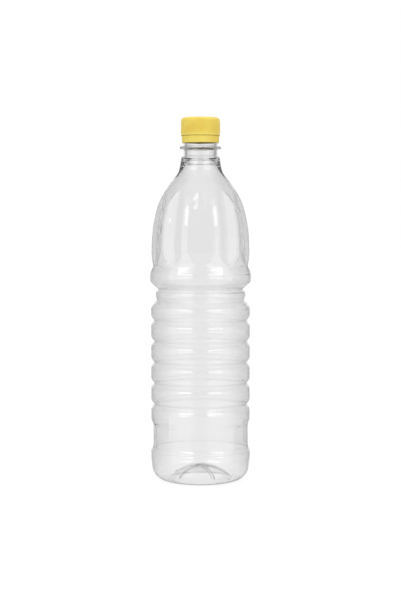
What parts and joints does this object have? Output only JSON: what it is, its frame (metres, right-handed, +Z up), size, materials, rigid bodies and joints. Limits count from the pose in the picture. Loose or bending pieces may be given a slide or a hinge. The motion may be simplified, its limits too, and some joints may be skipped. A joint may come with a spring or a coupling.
{
  "type": "plastic bottle",
  "caption": "Tall clear plastic bottle with a fluted shoulder, ribbed body, panelled foot and yellow screw cap.",
  "frame": {"origin": "centre of the footprint, on the surface that the bottle stands on", "axes": "+Z up along the bottle, -Y towards the front"},
  "size_m": [0.0806, 0.0806, 0.289],
  "materials": {
    "clear_pet": "clear, colourless and glossy, thin walled",
    "cap_plastic": "warm yellow, opaque, satin"
  },
  "bodies": {
    "root": {"bottle": "clear_pet", "cap": "cap_plastic", "tamper_band": "cap_plastic"}
  },
  "joints": []
}
